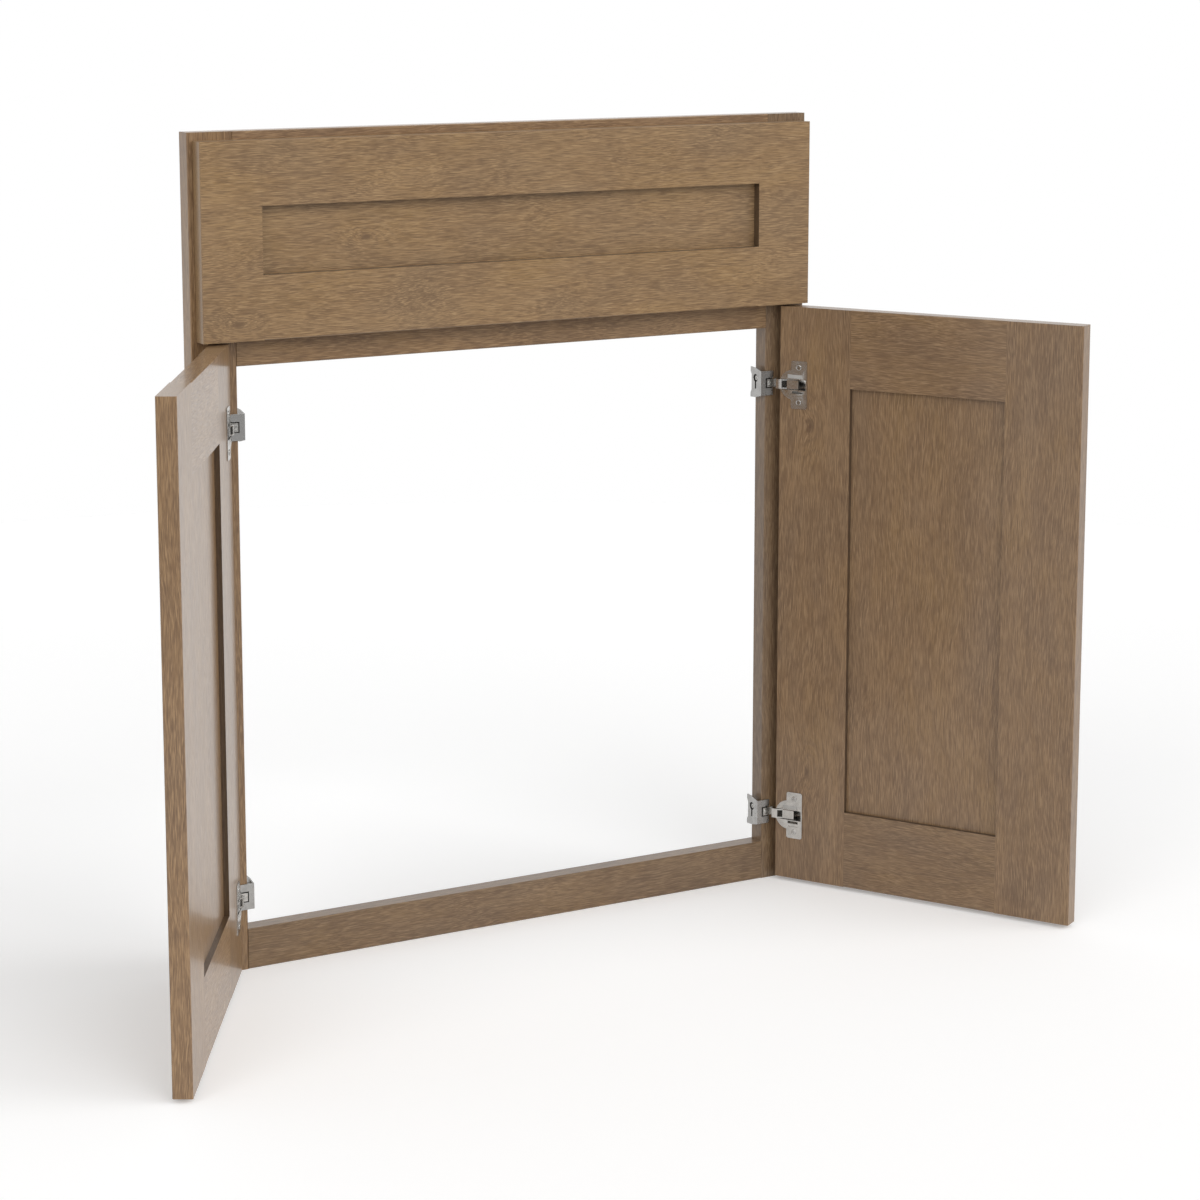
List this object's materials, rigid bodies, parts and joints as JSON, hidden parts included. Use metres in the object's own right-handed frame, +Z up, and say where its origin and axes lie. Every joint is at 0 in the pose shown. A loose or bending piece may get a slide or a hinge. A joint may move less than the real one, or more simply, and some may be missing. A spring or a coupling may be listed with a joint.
{
  "type": "sink base front",
  "caption": "Face frame with a false drawer front above a pair of framed doors on concealed cup hinges, to close the front of a kitchen sink base.",
  "frame": {"origin": "centre of the face frame's footprint: middle of its width and of its thickness, at floor level", "axes": "+X along the frame, to the right as seen from the front; +Y back, into the cabinet; +Z up; the doors and false front face -Y"},
  "size_m": [0.9152, 0.297, 0.762],
  "materials": {
    "stained_wood": "taupe-brown stain, semi-gloss lacquer",
    "hinge_nickel": "satin nickel plating",
    "damper_grey": "satin lid",
    "pin_steel": "plain steel",
    "screw_steel": "nickel-plated steel"
  },
  "bodies": {
    "frame": {"bracket_screws": "screw_steel", "cam_screws": "screw_steel", "drawer_front_bottom_rail": "stained_wood", "drawer_front_left_end": "stained_wood", "drawer_front_panel": "stained_wood", "drawer_front_right_end": "stained_wood", "drawer_front_screws": "screw_steel", "drawer_front_top_rail": "stained_wood", "frame_bottom_rail": "stained_wood", "frame_left_stile": "stained_wood", "frame_middle_rail": "stained_wood", "frame_pins": "pin_steel", "frame_right_stile": "stained_wood", "frame_top_rail": "stained_wood", "left_lower_hinge_arm": "hinge_nickel", "left_lower_hinge_base": "hinge_nickel", "left_lower_hinge_bracket": "hinge_nickel", "left_upper_hinge_arm": "hinge_nickel", "left_upper_hinge_base": "hinge_nickel", "left_upper_hinge_bracket": "hinge_nickel", "right_lower_hinge_arm": "hinge_nickel", "right_lower_hinge_base": "hinge_nickel", "right_lower_hinge_bracket": "hinge_nickel", "right_upper_hinge_arm": "hinge_nickel", "right_upper_hinge_base": "hinge_nickel", "right_upper_hinge_bracket": "hinge_nickel"},
    "right_levers": {"right_lower_hinge_lever": "hinge_nickel", "right_upper_hinge_lever": "hinge_nickel"},
    "right_door": {"right_cup_pins": "pin_steel", "right_cup_screws": "screw_steel", "right_door_bottom_rail": "stained_wood", "right_door_free_stile": "stained_wood", "right_door_hinge_stile": "stained_wood", "right_door_panel": "stained_wood", "right_door_top_rail": "stained_wood", "right_lower_hinge_cup": "hinge_nickel", "right_lower_hinge_damper": "damper_grey", "right_upper_hinge_cup": "hinge_nickel", "right_upper_hinge_damper": "damper_grey"},
    "left_levers": {"left_lower_hinge_lever": "hinge_nickel", "left_upper_hinge_lever": "hinge_nickel"},
    "left_door": {"left_cup_pins": "pin_steel", "left_cup_screws": "screw_steel", "left_door_bottom_rail": "stained_wood", "left_door_free_stile": "stained_wood", "left_door_hinge_stile": "stained_wood", "left_door_panel": "stained_wood", "left_door_top_rail": "stained_wood", "left_lower_hinge_cup": "hinge_nickel", "left_lower_hinge_damper": "damper_grey", "left_upper_hinge_cup": "hinge_nickel", "left_upper_hinge_damper": "damper_grey"}
  },
  "joints": [
    {"name": "right_lever_pivot", "type": "hinge", "parent": "frame", "child": "right_levers", "pos_m": [0.288, -0.01483, 0.285], "axis": [0, 0, 1], "range_deg": [0, 60.44]},
    {"name": "right_door_hinge", "type": "hinge", "parent": "right_levers", "child": "right_door", "pos_m": [0.29525, -0.02704, 0.285], "axis": [0, 0, -1], "range_deg": [0, 180.43]},
    {"name": "left_lever_pivot", "type": "hinge", "parent": "frame", "child": "left_levers", "pos_m": [-0.288, -0.01483, 0.285], "axis": [0, 0, -1], "range_deg": [0, 60.44]},
    {"name": "left_door_hinge", "type": "hinge", "parent": "left_levers", "child": "left_door", "pos_m": [-0.29525, -0.02704, 0.285], "axis": [0, 0, 1], "range_deg": [0, 180.43]}
  ],
  "couplings": [
    {"joint": "right_lever_pivot", "follows": "right_door_hinge", "ratio": 0.33492},
    {"joint": "left_lever_pivot", "follows": "left_door_hinge", "ratio": 0.33492}
  ]
}
